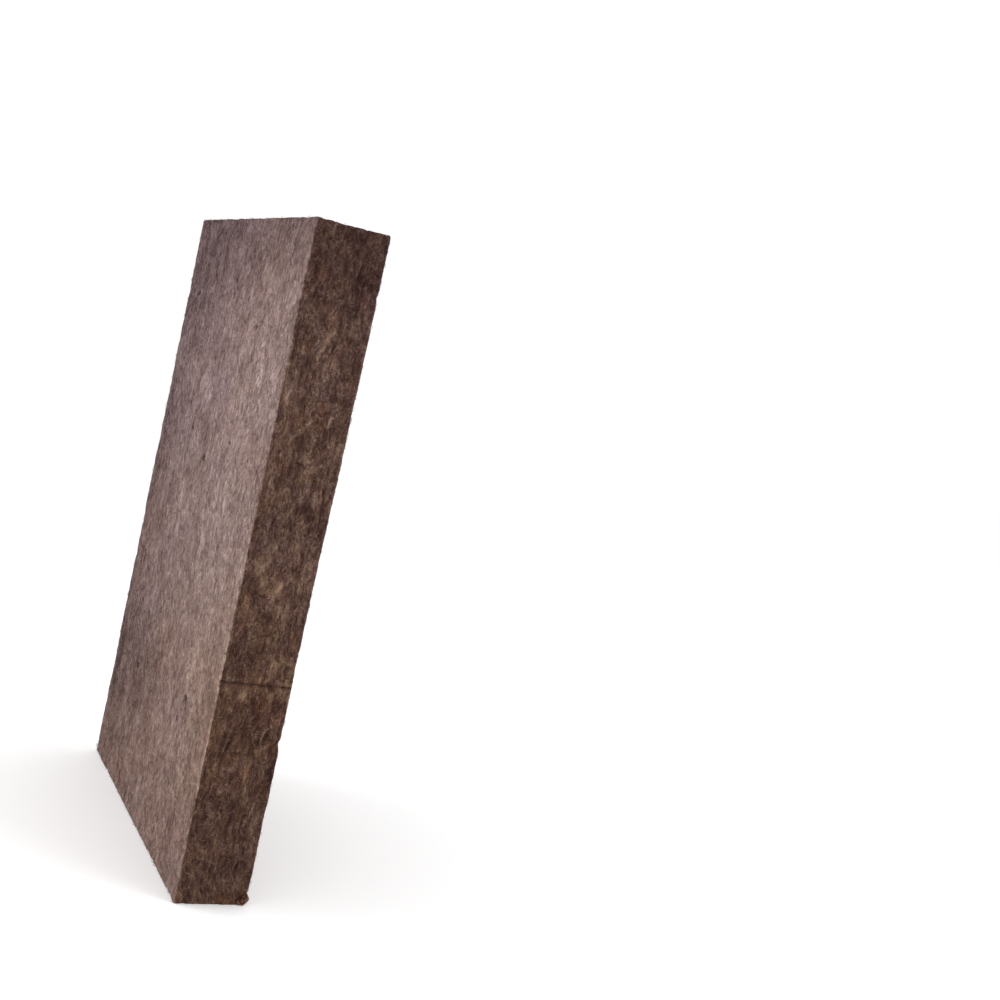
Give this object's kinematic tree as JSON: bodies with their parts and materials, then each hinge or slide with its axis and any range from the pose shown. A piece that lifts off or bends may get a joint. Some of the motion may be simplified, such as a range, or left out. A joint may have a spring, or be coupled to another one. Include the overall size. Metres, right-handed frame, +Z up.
{
  "type": "floral foam slab",
  "caption": "Upright slab of brown bonded floral wool: webs of mineral fibre stacked between two felted skins, with a shallow starter cut across one narrow side.",
  "frame": {"origin": "centre of the underside, the end that the slab stands on", "axes": "+Z up along the slab's length, +X across its width towards the narrow side with the starter cut, +Y through its thickness towards the back skin"},
  "size_m": [0.46, 0.075, 0.69],
  "materials": {
    "skin_felt": "matte",
    "wool_web": "matte",
    "torn_wool": "matte",
    "glassy_shot": "gloss"
  },
  "bodies": {
    "root": {"front_skin": "skin_felt", "lap_01": "wool_web", "lap_02": "wool_web", "lap_03": "wool_web", "lap_04": "wool_web", "lap_05": "wool_web", "lap_06": "wool_web", "lap_07": "wool_web", "lap_08": "wool_web", "lap_09": "wool_web", "lap_10": "wool_web", "back_skin": "skin_felt", "torn_corner_tuft": "torn_wool", "lifted_flake": "wool_web", "shot_grains": "glassy_shot"}
  },
  "joints": []
}
